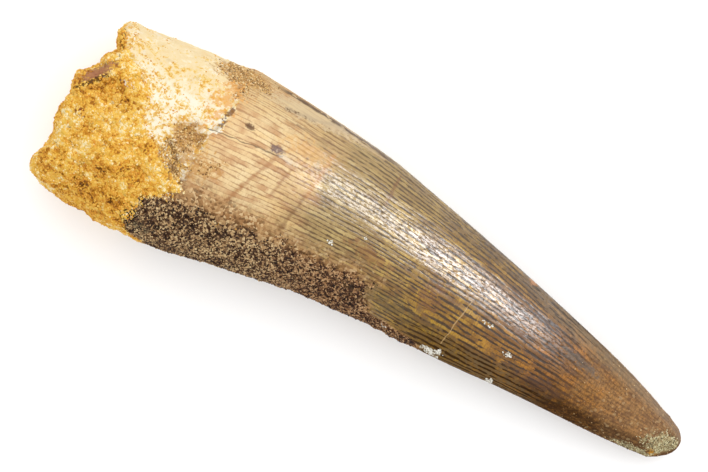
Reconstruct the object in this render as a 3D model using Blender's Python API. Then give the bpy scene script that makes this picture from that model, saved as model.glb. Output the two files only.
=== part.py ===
"""Fossil tooth of a spinosaurus, lying on its side, with the sand of its burial still set on the root.

The tooth runs along X with its tip at +X. The face that the sand left bare looks up, along +Z.
The whole tooth is one solid: a ringed sphere is drawn out into the root, the crown and the tip, its
skin is raised and sunk where the real one is, and the underside is cut where it lies flat.
"""
import math

import bmesh
import bpy
from mathutils import Matrix, Vector, noise

MM = 0.001

# Driving dimensions
LENGTH = 78.0 * MM
CROWN_START = 16.5 * MM
ROOT_ROUNDING = 2.5 * MM
TIP_ROUNDING = 2.0 * MM

# How square the two ends are: 2 is a half ellipse, and a higher power is flatter with a tighter rim
ROOT_SQUARENESS = 4.0
TIP_SQUARENESS = 2.6

# Stations along the tooth, in mm: distance from the root end, edge towards +Y, edge towards -Y,
# half of the thickness, and the height of the underside before it is cut flat
STATIONS = [
    (0.0, 8.1, -11.3, 8.6, 0.50),
    (4.0, 8.8, -12.2, 8.9, 0.35),
    (10.0, 9.8, -12.4, 9.1, -0.05),
    (16.0, 10.5, -11.9, 9.2, -0.45),
    (22.0, 10.4, -10.6, 8.9, -0.60),
    (34.0, 9.6, -8.1, 7.8, -0.55),
    (40.0, 8.6, -7.8, 7.2, -0.30),
    (51.0, 6.5, -7.2, 6.1, 0.30),
    (58.0, 5.0, -6.5, 5.2, 0.55),
    (70.0, 2.1, -5.7, 3.4, 0.90),
    (76.0, 0.0, -5.1, 2.1, 1.05),
    (78.0, -0.7, -4.7, 1.7, 1.10),
]

# The broken root end and the worn tip, in mm: place across, and how far the end stands back there
ROOT_END_STEPS = [
    (-11.4, 0.3), (-9.6, 0.6), (-7.3, 1.3), (-5.0, 0.5), (-1.9, 0.6), (0.2, 0.0), (1.2, 0.0),
    (2.2, 1.5), (3.6, 1.7), (4.8, 3.2), (6.2, 1.9), (8.3, 0.9),
]
ROOT_END_REACH = 6.0 * MM
ROOT_END_DISH = 0.8 * MM
LEDGE_WOBBLE = 1.6 * MM
LEDGE_WOBBLE_WIDTH = 5.0 * MM
TIP_STEPS = [(-4.9, 1.5), (-3.7, 0.5), (-1.6, 0.0)]
TIP_REACH = 3.5 * MM

# Where the ochre crust stops on the bare face, in mm: place across the tooth, distance from the root end
CRUST_EDGE = [
    (-12.2, 13.0), (-8.0, 13.0), (-5.0, 16.5), (-3.5, 13.5), (-1.0, 9.6),
    (2.0, 9.3), (3.2, 6.5), (5.0, 4.0), (8.6, 2.0),
]
CRUST_EDGE_BELOW = 13.0
CRUST_THICKNESS = 0.40 * MM
CRUST_LUMPS = ((3.1 * MM, 0.42 * MM), (1.5 * MM, 0.20 * MM))

# The dark sand that is set along one flank: angles round the tooth in degrees, distances in mm
BAND_ANGLES = (120.0, 236.0)
BAND_ENDS = (12.0, 39.2)
BAND_SOFTNESS = (7.0, 1.6)
BAND_THICKNESS = 0.30 * MM
BAND_LUMPS = ((1.9 * MM, 0.26 * MM),)

# Flutes of the crown and its two cutting edges
FLUTE_COUNT = 22
FLUTE_HEIGHT = 0.12 * MM
CARINA_ANGLES = (12.3, 192.3)
CARINA_HALF_WIDTH = 4.2
CARINA_HEIGHT = 0.35 * MM
CARINA_RUN = (21.0, 74.0)
ENAMEL_STEP = 0.22 * MM

# Hollows on the bare face, in mm: distance from the root end, place across, their two radii, depth
HOLLOWS = [
    (5.1, 0.3, 2.6, 1.9, 0.75),
    (1.9, 1.6, 2.4, 1.3, 0.55),
    (14.6, 0.2, 1.7, 1.7, 0.50),
    (13.7, -2.6, 1.3, 0.9, 0.40),
    (77.0, -3.9, 1.2, 0.9, 0.30),
]

# Lumps of crust at the root end, as above, with their height
KNOBS = [
    (1.6, -10.4, 2.2, 2.0, 0.50),
    (3.6, 6.9, 1.9, 1.5, 0.35),
    (8.2, -6.0, 2.8, 2.2, 0.35),
]

# How finely the skin is divided: round the tooth, over the root end, then in runs of (end in mm, rings)
AROUND = 88
ROOT_END_RINGS = 8
RING_RUNS = ((20.0, 17), (41.0, 15), (76.0, 9))
TIP_RINGS = 4
SHARP_ANGLE = math.radians(40.0)

FOSSIL_COLOUR = (0.33, 0.22, 0.10, 1.0)
FOSSIL_ROUGHNESS = 0.55


def clear_scene():
    """Remove whatever the scene holds."""
    for obj in list(bpy.data.objects):
        bpy.data.objects.remove(obj, do_unlink=True)


def new_collection(name):
    collection = bpy.data.collections.new(name)
    bpy.context.scene.collection.children.link(collection)
    return collection


def smooth_step(low, high, value):
    """0 below low, 1 above high, and a smooth rise between them."""
    part = min(max((value - low) / (high - low), 0.0), 1.0)
    return part * part * (3.0 - 2.0 * part)


def straight_between(points, place):
    """Read a list of (place, value) as straight runs."""
    if place <= points[0][0]:
        return points[0][1]
    for (p0, v0), (p1, v1) in zip(points, points[1:]):
        if place <= p1:
            return v0 + (v1 - v0) * (place - p0) / (p1 - p0)
    return points[-1][1]


def station_slope(index, column):
    """Slope of one column of the stations at a station, from its two neighbours."""
    before = STATIONS[max(index - 1, 0)]
    after = STATIONS[min(index + 1, len(STATIONS) - 1)]
    return (after[column] - before[column]) / (after[0] - before[0])


def station_value(distance, column):
    """Read one column of the stations as a smooth curve, in mm."""
    last = len(STATIONS) - 2
    index = next((i for i in range(last + 1) if distance <= STATIONS[i + 1][0]), last)
    start = STATIONS[index]
    end = STATIONS[index + 1]
    span = end[0] - start[0]
    t = min(max((distance - start[0]) / span, 0.0), 1.0)
    rise = 3.0 * t ** 2 - 2.0 * t ** 3
    lead_in = (t ** 3 - 2.0 * t ** 2 + t) * span * station_slope(index, column)
    lead_out = (t ** 3 - t ** 2) * span * station_slope(index + 1, column)
    return start[column] * (1.0 - rise) + end[column] * rise + lead_in + lead_out


def section(distance):
    """Centre and half sizes of the tooth's oval section at a distance from the root end."""
    place = distance / MM
    upper = station_value(place, 1) * MM
    lower = station_value(place, 2) * MM
    half_depth = station_value(place, 3) * MM
    underside = station_value(place, 4) * MM
    return (upper + lower) / 2.0, (upper - lower) / 2.0, underside + half_depth, half_depth


def rounded_end(size, rounding, squareness):
    """How far in from an end a ring lies, when it has this share of the full section."""
    return rounding * (1.0 - (1.0 - size ** squareness) ** (1.0 / squareness))


def ring_places():
    """Distance from the root end and share of the full section for each ring, root to tip."""
    places = [(0.0, 0.0)]
    for i in range(1, ROOT_END_RINGS + 1):
        size = math.sin(math.pi / 2.0 * i / ROOT_END_RINGS)
        places.append((rounded_end(size, ROOT_ROUNDING, ROOT_SQUARENESS), size))
    start = ROOT_ROUNDING
    for end_mm, count in RING_RUNS:
        end = end_mm * MM
        places += [(start + (end - start) * i / count, 1.0) for i in range(1, count + 1)]
        start = end
    for i in range(1, TIP_RINGS + 1):
        size = math.cos(math.pi / 2.0 * i / (TIP_RINGS + 1))
        places.append((LENGTH - rounded_end(size, TIP_ROUNDING, TIP_SQUARENESS), size))
    places.append((LENGTH, 0.0))
    return places


def root_end_setback(distance, size, across, up):
    """How far the broken root end stands back at one place, fading out along the tooth."""
    fade = 1.0 - smooth_step(0.0, ROOT_END_REACH, distance)
    wander = LEDGE_WOBBLE * noise.noise(Vector((0.0, 0.0, up / LEDGE_WOBBLE_WIDTH)))
    ledge = straight_between(ROOT_END_STEPS, (across + wander) / MM) * MM
    dish = ROOT_END_DISH * (1.0 - size ** 2)
    return (ledge + dish) * fade


def tip_setback(distance, across):
    """How far the worn tip stands back at a place across it."""
    reach = smooth_step(LENGTH - TIP_REACH, LENGTH, distance)
    return straight_between(TIP_STEPS, across / MM) * MM * reach


def lumps(point, sizes):
    """Sum of soft noise, one layer for each (width, height)."""
    return sum(height * noise.noise(point / width) for width, height in sizes)


def crust_share(distance, across, angle):
    """1 where the ochre crust covers the root, 0 where it does not."""
    below = smooth_step(0.0, 0.6, -math.sin(angle))
    edge = straight_between(CRUST_EDGE, across / MM) * (1.0 - below) + CRUST_EDGE_BELOW * below
    return 1.0 - smooth_step(edge - 0.6, edge + 0.6, distance / MM)


def band_share(distance, angle):
    """1 in the dark sand along the flank, 0 outside it."""
    turn = math.degrees(angle) % 360.0
    soft_turn, soft_run = BAND_SOFTNESS
    across = smooth_step(BAND_ANGLES[0] - soft_turn, BAND_ANGLES[0] + soft_turn, turn)
    across *= 1.0 - smooth_step(BAND_ANGLES[1] - soft_turn, BAND_ANGLES[1] + soft_turn, turn)
    along = smooth_step(BAND_ENDS[0] - soft_run, BAND_ENDS[0] + soft_run, distance / MM)
    along *= 1.0 - smooth_step(BAND_ENDS[1] - soft_run, BAND_ENDS[1] + soft_run, distance / MM)
    return across * along


def spot(distance, across, angle, mark):
    """Height or depth of a hollow or a knob of the bare face, at one place."""
    centre, side, radius_along, radius_across, height = mark
    if math.sin(angle) < 0.0:
        return 0.0
    away = math.hypot((distance / MM - centre) / radius_along, (across / MM - side) / radius_across)
    return height * MM * (1.0 - smooth_step(0.45, 1.25, away))


def carina(distance, angle):
    """Height of the two cutting edges."""
    turn = math.degrees(angle) % 360.0
    away = min(abs(turn - place) for place in CARINA_ANGLES)
    along = smooth_step(CARINA_RUN[0], CARINA_RUN[0] + 4.0, distance / MM)
    along *= 1.0 - smooth_step(CARINA_RUN[1] - 6.0, CARINA_RUN[1], distance / MM)
    return CARINA_HEIGHT * along * max(0.0, 1.0 - away / CARINA_HALF_WIDTH)


def relief(point, distance, across, angle):
    """How far the skin stands out from the plain form at one place."""
    crust = crust_share(distance, across, angle)
    band = band_share(distance, angle) * (1.0 - crust)
    enamel = smooth_step(CROWN_START - 0.5 * MM, CROWN_START + 0.5 * MM, distance) * (1.0 - band)
    bare_root = (1.0 - crust) * (1.0 - band) * (1.0 - enamel)
    slimming = station_value(distance / MM, 3) / station_value(CROWN_START / MM, 3)
    flute = FLUTE_HEIGHT * slimming * math.cos(FLUTE_COUNT * angle) * enamel
    height = crust * lumps(point, CRUST_LUMPS) - bare_root * CRUST_THICKNESS
    height += band * (lumps(point, BAND_LUMPS) + BAND_THICKNESS / 2.0) + flute
    height += enamel * (carina(distance, angle) - CRUST_THICKNESS + ENAMEL_STEP)
    height -= sum(spot(distance, across, angle, hollow) for hollow in HOLLOWS)
    height += sum(spot(distance, across, angle, knob) for knob in KNOBS)
    return height


def tooth_mesh():
    """Draw a sphere out into the plain tooth, then raise and sink its skin."""
    places = ring_places()
    bm = bmesh.new()
    bmesh.ops.create_uvsphere(bm, u_segments=AROUND, v_segments=len(places) - 1, radius=1.0)
    where = {}
    for vert in bm.verts:
        turn_from_tip = math.acos(max(-1.0, min(1.0, vert.co.z)))
        ring = len(places) - 1 - round(turn_from_tip / math.pi * (len(places) - 1))
        angle = math.atan2(vert.co.y, vert.co.x)
        distance, size = places[ring]
        centre_y, half_width, centre_z, half_depth = section(distance)
        across = centre_y + half_width * size * math.cos(angle)
        up = centre_z + half_depth * size * math.sin(angle)
        along = distance + root_end_setback(distance, size, across, up) - tip_setback(distance, across)
        where[vert] = (along, across, angle)
        vert.co = Vector((along, across, up))
    bm.normal_update()
    heights = {vert: relief(vert.co, *place) for vert, place in where.items()}
    for vert, height in heights.items():
        vert.co += vert.normal * height
    xs = [vert.co.x for vert in bm.verts]
    ys = [vert.co.y for vert in bm.verts]
    centre = Vector(((min(xs) + max(xs)) / 2.0, (min(ys) + max(ys)) / 2.0, 0.0))
    bmesh.ops.transform(bm, matrix=Matrix.Translation(-centre), verts=bm.verts)
    mesh = bpy.data.meshes.new("tooth")
    bm.to_mesh(mesh)
    bm.free()
    mesh.shade_smooth()
    mesh.set_sharp_from_angle(angle=SHARP_ANGLE)
    return mesh


def fossil_material():
    material = bpy.data.materials.new("fossil enamel")
    material.use_nodes = True
    shader = material.node_tree.nodes["Principled BSDF"]
    shader.inputs["Base Color"].default_value = FOSSIL_COLOUR
    shader.inputs["Roughness"].default_value = FOSSIL_ROUGHNESS
    shader.inputs["Metallic"].default_value = 0.0
    return material


def ground_cutter(collection):
    """A block whose top is the plane that the tooth lies on."""
    size = 1.5 * LENGTH
    bm = bmesh.new()
    bmesh.ops.create_cube(bm, size=size)
    bmesh.ops.translate(bm, vec=Vector((0.0, 0.0, -size / 2.0)), verts=bm.verts)
    mesh = bpy.data.meshes.new("ground cutter")
    bm.to_mesh(mesh)
    bm.free()
    cutter = bpy.data.objects.new("ground_cutter", mesh)
    cutter.display_type = "WIRE"
    cutter.hide_render = True
    collection.objects.link(cutter)
    return cutter


def build():
    clear_scene()
    parts = new_collection("spinosaurus tooth")
    cutters = new_collection("cutters")
    tooth = bpy.data.objects.new("tooth", tooth_mesh())
    tooth.data.materials.append(fossil_material())
    parts.objects.link(tooth)
    flat = tooth.modifiers.new("rest flat", "BOOLEAN")
    flat.operation = "DIFFERENCE"
    flat.object = ground_cutter(cutters)


build()
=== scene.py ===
# %% [markdown]
# # A fossil spinosaurus tooth
# This lesson dresses one solid: a fossil tooth, about 77 mm long, that lies on its side. The solid gives
# the size and the large forms. What is added here is the skin: fine flutes in the enamel, a chalky root,
# sand that the burial has set on it, cracks, stains and a few pale specks.
# The tooth lies along X with its tip at +X, and its bare face looks up.

import math

import bmesh
import bpy
import numpy as np
from mathutils import Matrix, Vector, noise
from mathutils.bvhtree import BVHTree


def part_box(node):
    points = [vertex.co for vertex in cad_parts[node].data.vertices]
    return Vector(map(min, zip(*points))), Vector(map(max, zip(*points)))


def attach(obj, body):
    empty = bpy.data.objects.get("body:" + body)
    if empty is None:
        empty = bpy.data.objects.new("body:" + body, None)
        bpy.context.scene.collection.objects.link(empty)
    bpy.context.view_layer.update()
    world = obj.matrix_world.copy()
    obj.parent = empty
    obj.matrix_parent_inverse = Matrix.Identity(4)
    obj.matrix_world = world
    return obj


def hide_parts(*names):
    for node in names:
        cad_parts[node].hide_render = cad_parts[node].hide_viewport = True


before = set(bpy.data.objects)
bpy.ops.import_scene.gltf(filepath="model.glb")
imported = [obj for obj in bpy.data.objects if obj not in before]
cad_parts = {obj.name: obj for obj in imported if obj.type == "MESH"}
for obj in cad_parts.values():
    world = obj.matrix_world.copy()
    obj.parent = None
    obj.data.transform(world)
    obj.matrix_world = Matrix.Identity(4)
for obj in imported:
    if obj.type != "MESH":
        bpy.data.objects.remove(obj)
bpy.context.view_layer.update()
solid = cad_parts["tooth"]
box_low, box_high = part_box("tooth")
print("solid", [round(1000 * side, 1) for side in box_high - box_low], "mm")

# %% [markdown]
# ## Working in millimetres
# Marks on the tooth are placed by two numbers that a ruler could read: the distance from the root end,
# and the place across it, with the curved edge of the crown on the plus side. The root end is broken, so
# its furthest point is not quite at zero, and the solid is centred, so the place across is moved back.
#
# The photograph is lit so strongly that its paper is pure white with nothing left of its grain: it gets
# about a quarter more light than white needs. Colours are written as they look in that light, so the
# surface's own colour is darker by that much.

# %% Units and places
MM = 0.001
ROOT_END = 0.50
ACROSS_SHIFT = -1.10
CROWN_START = 16.5
TOOTH_LENGTH = 78.0
PAPER_LIGHT = 1.27


def linear(red, green, blue, lit=PAPER_LIGHT):
    """A colour seen under so much light, 0 to 255, as the share of light that the surface gives back."""
    shares = [channel / 255.0 for channel in (red, green, blue)]
    light = [s / 12.92 if s <= 0.04045 else ((s + 0.055) / 1.055) ** 2.4 for s in shares]
    return (*[channel / lit for channel in light], 1.0)


def smooth_step(low, high, value):
    """0 below low, 1 above high, and a smooth rise between them, for whole arrays."""
    part = np.clip((value - low) / (high - low), 0.0, 1.0)
    return part * part * (3.0 - 2.0 * part)


# %% [markdown]
# ## Camera
# The photograph looks straight down on the tooth through a long lens, with the root at the upper left.
# Turning the camera about its own view by 30 degrees puts the tooth on that slant, and the distance
# follows from how many pixels a millimetre covers.

# %% Camera
VIEW_TURN = math.radians(30.0)
LENS = 300.0
SENSOR = 36.0
IMAGE_WIDTH = 708
PIXELS_PER_MM = 9.196
LOOK_AT = (-3.82 * MM, 1.09 * MM, 9.0 * MM)


def add_object(name, data):
    """Put a mesh, a lamp or a camera into the scene."""
    added = bpy.data.objects.new(name, data)
    bpy.context.scene.collection.objects.link(added)
    return added


camera = add_object("camera", bpy.data.cameras.new("camera"))
camera.data.lens = LENS
camera.data.sensor_width = SENSOR
camera_height = IMAGE_WIDTH / SENSOR * LENS / PIXELS_PER_MM * MM
camera.location = (LOOK_AT[0], LOOK_AT[1], LOOK_AT[2] + camera_height)
camera.rotation_euler = (0.0, 0.0, VIEW_TURN)
camera.data.clip_start = 0.01
camera.data.clip_end = 20.0
bpy.context.scene.camera = camera
print("camera", round(camera_height / MM), "mm above the tooth")

# %% [markdown]
# ## Floor and light
# The tooth lies on white paper in a pale room, and the room's light alone makes the soft shadow where the
# tooth meets the paper. A broad lamp above it leans towards the curved edge, so the other flank is darker.
# A second lamp further over makes the long silvery sheen on the enamel: it stands where the surface above
# the middle mirrors it into the camera. The first lights colour alone and the second gloss alone, so each
# can be set without spoiling the other, as filters on a studio's lamps do it.

# %% Floor
FLOOR_SIZE = 6.0
FLOOR_COLOUR = (0.93, 0.93, 0.93, 1.0)


def new_material(name):
    """A material, and the sockets of its shader."""
    material = bpy.data.materials.new(name)
    material.use_nodes = True
    return material, material.node_tree.nodes["Principled BSDF"].inputs


def paper_floor():
    """A wide sheet of paper at the height that the tooth rests on."""
    paper, sockets = new_material("white paper")
    sockets["Base Color"].default_value = FLOOR_COLOUR
    sockets["Roughness"].default_value = 0.9
    bm = bmesh.new()
    bmesh.ops.create_grid(bm, x_segments=1, y_segments=1, size=FLOOR_SIZE / 2.0)
    mesh = bpy.data.meshes.new("floor")
    bm.to_mesh(mesh)
    bm.free()
    mesh.materials.append(paper)
    return add_object("floor", mesh)


floor = paper_floor()
print("floor", FLOOR_SIZE, "m wide")

# %% Lamps and world
LAMP_DISTANCE = 0.65
LAMPS = {
    "broad lamp": {"lean": (0.12, 0.45, 1.0), "size": (0.60, 0.60), "power": 2.6, "gloss": False},
    "sheen lamp": {"lean": (0.44, 0.76, 1.0), "size": (0.28, 0.34), "power": 11.4, "gloss": True},
}
WORLD_STRENGTH = 0.94
SHEEN_COLOUR = (0.93, 0.95, 0.97)


def soft_lamp(name, lean, size, power, gloss):
    """A lamp that faces the middle of the tooth, with the side of its first size along the tooth."""
    data = bpy.data.lights.new(name, "AREA")
    data.shape = "RECTANGLE"
    data.size, data.size_y = size
    data.energy = power
    data.use_shadow = False
    data.color = SHEEN_COLOUR if gloss else (1.0, 1.0, 1.0)
    back = Vector(lean).normalized()
    side = Vector((0.0, 1.0, 0.0)).cross(back).normalized()
    lamp = add_object(name, data)
    lamp.location = Vector(LOOK_AT) + back * LAMP_DISTANCE
    lamp.visible_glossy = gloss
    lamp.visible_diffuse = not gloss
    lamp.rotation_euler = Matrix((side, back.cross(side), back)).transposed().to_euler()


for name, settings in LAMPS.items():
    soft_lamp(name, **settings)
world = bpy.data.worlds.new("pale room")
world.use_nodes = True
world.node_tree.nodes["Background"].inputs["Color"].default_value = (1.0, 1.0, 1.0, 1.0)
world.node_tree.nodes["Background"].inputs["Strength"].default_value = WORLD_STRENGTH
bpy.context.scene.world = world
bpy.context.scene.view_settings.view_transform = "Standard"
print("lamps", list(LAMPS), "and world", WORLD_STRENGTH)

# %% [markdown]
# ## A fine net over the solid
# The solid has about 9,000 triangles, which is too coarse for flutes half a millimetre apart. Dividing it
# further would keep its facets, so a new net is laid over it: rays leave the middle of the tooth in
# rings, like the ribs and hoops of a basket, and each crossing of a rib and a hoop is put where its ray
# meets the solid. The hoops fan out round both ends. The distances are then blurred a little, more on
# the crown, which hides the facets.

# %% The middle line of the tooth
STATION_MARGINS = (4.0, 2.0)
STATION_GAP = 2.0
STATION_REACH = 2.5


def mesh_points(mesh):
    """The corners of a mesh as rows of x, y and z, in mm."""
    points = np.empty(len(mesh.vertices) * 3)
    mesh.vertices.foreach_get("co", points)
    return points.reshape(-1, 3) / MM


def middle_line(points):
    """Smooth curves for the middle of the section in Y and in Z, as functions of x in mm."""
    first = box_low.x / MM + STATION_MARGINS[0]
    stations = np.arange(first, box_high.x / MM - STATION_MARGINS[1], STATION_GAP)
    middles = []
    for station in stations:
        near = points[np.abs(points[:, 0] - station) < STATION_REACH]
        middles.append((near[:, 1:].min(axis=0) + near[:, 1:].max(axis=0)) / 2.0)
    middles = np.array(middles)
    return [np.poly1d(np.polyfit(stations, middles[:, axis], 4)) for axis in (0, 1)]


middle_y, middle_z = middle_line(mesh_points(solid.data))
print("middle of the root", round(middle_y(-30.0), 2), round(middle_z(-30.0), 2), "mm")

# %% Ribs and hoops
RIBS = 380
ROOT_HOOPS = 66
SIDE_HOOPS = 172
TIP_HOOPS = 17
ROOT_FAN = 9.0
TIP_FAN = 2.6
SECTION_FLATNESS = 0.82


def hoop_rays():
    """Start and slant of the rays of each hoop: its x in mm, and its share along X and outward."""
    root_x = box_low.x / MM + ROOT_FAN
    tip_x = box_high.x / MM - TIP_FAN
    hoops = []
    for i in range(1, ROOT_HOOPS + 1):
        angle = math.pi / 2.0 * i / (ROOT_HOOPS + 1)
        hoops.append((root_x, -math.cos(angle), math.sin(angle)))
    for x in np.linspace(root_x, tip_x, SIDE_HOOPS):
        hoops.append((float(x), 0.0, 1.0))
    for i in range(TIP_HOOPS, 0, -1):
        angle = math.pi / 2.0 * i / (TIP_HOOPS + 1)
        hoops.append((tip_x, math.cos(angle), math.sin(angle)))
    return hoops


def meet_solid(tree, start, direction):
    """Distance from a point inside to the solid's skin, in mm."""
    return tree.ray_cast([c * MM for c in start], direction)[3] / MM


def ray_field():
    """Starts, directions and lengths of all rays, as arrays of hoops by ribs."""
    tree = BVHTree.FromPolygons(
        [v.co.copy() for v in solid.data.vertices], [p.vertices[:] for p in solid.data.polygons]
    )
    hoops = hoop_rays()
    turn = 2.0 * math.pi * np.arange(RIBS) / RIBS
    starts = np.array([(x, middle_y(x), middle_z(x)) for x, _, _ in hoops])
    forward = np.array([h[1] for h in hoops])[:, None] * np.ones(RIBS)
    outward = np.array([h[2] for h in hoops])[:, None]
    directions = np.stack(
        [forward, outward * np.cos(turn), outward * SECTION_FLATNESS * np.sin(turn)], axis=-1
    )
    directions /= np.linalg.norm(directions, axis=-1, keepdims=True)
    lengths = np.empty(directions.shape[:2])
    for hoop, start in enumerate(starts):
        for rib in range(RIBS):
            lengths[hoop, rib] = meet_solid(tree, start, directions[hoop, rib].tolist())
    ends = [meet_solid(tree, starts[0], (-1, 0, 0)), meet_solid(tree, starts[-1], (1, 0, 0))]
    return starts, directions, lengths, turn, ends


starts, directions, lengths, turn, end_lengths = ray_field()
print(lengths.size, "rays")

# %% Blur away the facets
CALM_BLUR = (2.0, 6.0)
ROUGH_BLUR = (1.2, 2.0)


def blurred(field, hoop_blur, rib_blur):
    """Blur an array of hoops by ribs. Ribs close in a ring, and hoops stop at the ends."""
    for axis, width in ((0, hoop_blur), (1, rib_blur)):
        reach = int(math.ceil(3.0 * width))
        weights = np.exp(-0.5 * (np.arange(-reach, reach + 1) / width) ** 2)
        weights /= weights.sum()
        mode = "edge" if axis == 0 else "wrap"
        pad = [(reach, reach), (0, 0)] if axis == 0 else [(0, 0), (reach, reach)]
        padded = np.pad(field, pad, mode=mode)
        size = field.shape[axis]
        field = sum(w * np.take(padded, range(i, i + size), axis=axis) for i, w in enumerate(weights))
    return field


def net_points(lengths):
    """Where the rays end."""
    return starts[:, None, :] + directions * lengths[:, :, None]


rough_points = net_points(blurred(lengths, *ROUGH_BLUR))
calm_points = net_points(blurred(lengths, *CALM_BLUR))
from_root = rough_points[:, :, 0] - box_low.x / MM + ROOT_END
calm_share = smooth_step(CROWN_START - 1.0, CROWN_START + 3.0, from_root)[:, :, None]
points = rough_points * (1.0 - calm_share) + calm_points * calm_share
print("net", points.shape[0], "hoops by", points.shape[1], "ribs")

# %% [markdown]
# ## Where is what
# Every corner of the net now learns where it lies: how far from the root end, how far across, how high,
# and at what turn round the tooth. From these follow the zones of the real tooth, each as a number of
# millimetres: positive inside the zone, negative outside. A shader can soften or roughen such a border
# as it likes, which a plain yes or no would not allow.

# %% Places
ways = np.roll(points, -1, axis=1) - np.roll(points, 1, axis=1)
runs = np.gradient(points, axis=0)
normals = np.cross(ways, runs)
normals /= np.linalg.norm(normals, axis=-1, keepdims=True)

along = points[:, :, 0] - box_low.x / MM + ROOT_END
across = points[:, :, 1] + ACROSS_SHIFT
height = points[:, :, 2]
turn_grid = np.broadcast_to(turn, along.shape)
turn_degrees = np.degrees(turn_grid)
bare_face = smooth_step(-0.15, 0.25, np.sin(turn_grid))
print("along", round(along.min(), 1), "to", round(along.max(), 1), "mm")

# %% Soft noise
def soft_noise(stretch, offset=0.0, layers=1):
    """Noise from about -1 to 1 at every corner; stretch is how wide its features are, in all or by axis."""
    places = (points / np.array(stretch) + offset).reshape(-1, 3).tolist()
    if layers == 1:
        values = [noise.noise(place) for place in places]
    else:
        values = [noise.fractal(place, 0.7, 2.1, layers) for place in places]
    return np.array(values).reshape(along.shape)


# %% Borders of the zones
CRUST_EDGE_ACROSS = (-12.2, -8.0, -5.0, -3.5, -1.0, 1.5, 3.0, 4.6, 6.5, 8.6)
CRUST_EDGE_ALONG = (13.0, 13.4, 16.8, 14.0, 9.8, 9.2, 8.2, 5.2, 2.9, 0.7)
CRUST_EDGE_BELOW = 13.5
BAND_TURNS = (121.0, 236.0)
BAND_ENDS = (12.5, 39.2)
ZONE_REACH = 6.0
BORDER_WANDER = 5.0
BAND_LEAN = 0.05
LEAN_START = 135.0
TAIL_LENGTH = 6.5
TAIL_TURNS = (146.0, 166.0, 196.0, 216.0)
ENAMEL_STEP = 0.9


def crust_inside():
    """Millimetres inside the ochre crust. On the hidden side it ends roughly straight across."""
    edge = np.interp(across, CRUST_EDGE_ACROSS, CRUST_EDGE_ALONG)
    begin = np.where(np.cos(turn_grid) < 0.0, -0.4, 0.2)
    below = smooth_step(begin, begin + 0.6, -np.sin(turn_grid))
    edge_below = CRUST_EDGE_BELOW + BORDER_WANDER * soft_noise(4.0, 50.0, layers=3)
    return edge * (1.0 - below) + edge_below * below - along


def band_inside():
    """Millimetres inside the dark sand along the lower flank."""
    x, y, z = np.moveaxis(points, -1, 0)
    per_degree = np.radians(np.hypot(y - middle_y(x), z - middle_z(x)))
    upper = (turn_degrees - BAND_TURNS[0]) * per_degree
    lower = (BAND_TURNS[1] - turn_degrees) * per_degree
    lean = BAND_LEAN * np.clip(turn_degrees - LEAN_START, 0.0, 100.0)
    tail = smooth_step(*TAIL_TURNS[:2], turn_degrees) * (1.0 - smooth_step(*TAIL_TURNS[2:], turn_degrees))
    wander = BORDER_WANDER * soft_noise(4.0, 60.0, layers=3)
    wander = wander * smooth_step(120.0, 175.0, turn_degrees)
    end = BAND_ENDS[1] + lean * (1.0 - tail) + TAIL_LENGTH * tail + wander
    lower = lower + BORDER_WANDER * soft_noise(6.0, 70.0, layers=2)
    return np.minimum(np.minimum(upper, lower), np.minimum(along - BAND_ENDS[0], end - along))


crust_in = np.clip(crust_inside(), -ZONE_REACH, ZONE_REACH)
band_in = np.clip(band_inside(), -ZONE_REACH, ZONE_REACH)
step_back = ENAMEL_STEP * smooth_step(1.6, 2.8, across) * (1.0 - smooth_step(6.2, 7.4, across)) * bare_face
enamel_in = np.clip(along - CROWN_START - step_back, -ZONE_REACH, ZONE_REACH)
print("crust", int((crust_in > 0).sum()), "corners, band", int((band_in > 0).sum()), "corners")

# %% [markdown]
# ## Relief
# Now the net is raised and sunk along its own normals, by less than half a millimetre: wavy flutes on
# the crown, a step where the enamel starts, lumps in the crust, grit in the dark band, and the pits and
# ledges that the photograph shows. Displacing the net once, with numbers for each corner, keeps all of
# this in the mesh itself, so the outline shows it too. Soft noise gives the shapes their uneven edges.

# %% Noise round the tooth
def round_noise(length, count, offset=0.0):
    """Noise drawn out along the tooth, with about this many streaks in a turn of one radian."""
    places = np.stack(
        [along / length + offset, count * np.cos(turn_grid), count * np.sin(turn_grid)], axis=-1
    )
    return np.array([noise.noise(place) for place in places.reshape(-1, 3).tolist()]).reshape(along.shape)


uneven = soft_noise(0.9, 40.0, layers=2)


def spot(centre, radii, turned=0.0, edge=0.35):
    """1 inside an uneven oval on the bare face, 0 outside it."""
    cosine, sine = math.cos(math.radians(turned)), math.sin(math.radians(turned))
    ahead, aside = along - centre[0], across - centre[1]
    away = np.hypot((ahead * cosine + aside * sine) / radii[0], (aside * cosine - ahead * sine) / radii[1])
    return (1.0 - smooth_step(1.0 - edge, 1.0 + edge, away + 0.7 * uneven)) * bare_face


def spots(marks):
    """The sum of uneven ovals, each given by its centre, radii, slant and weight."""
    return sum(weight * spot(centre, radii, turned=slant) for centre, radii, slant, weight in marks)


# %% Flutes of the enamel
FLUTE_HEIGHT = 0.018
FLUTE_LENGTH = 9.0
FLUTES_ROOTWARD = 15.0
FLUTES_TIPWARD = 8.5
FLUTE_CHANGE = (44.0, 60.0)

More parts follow.
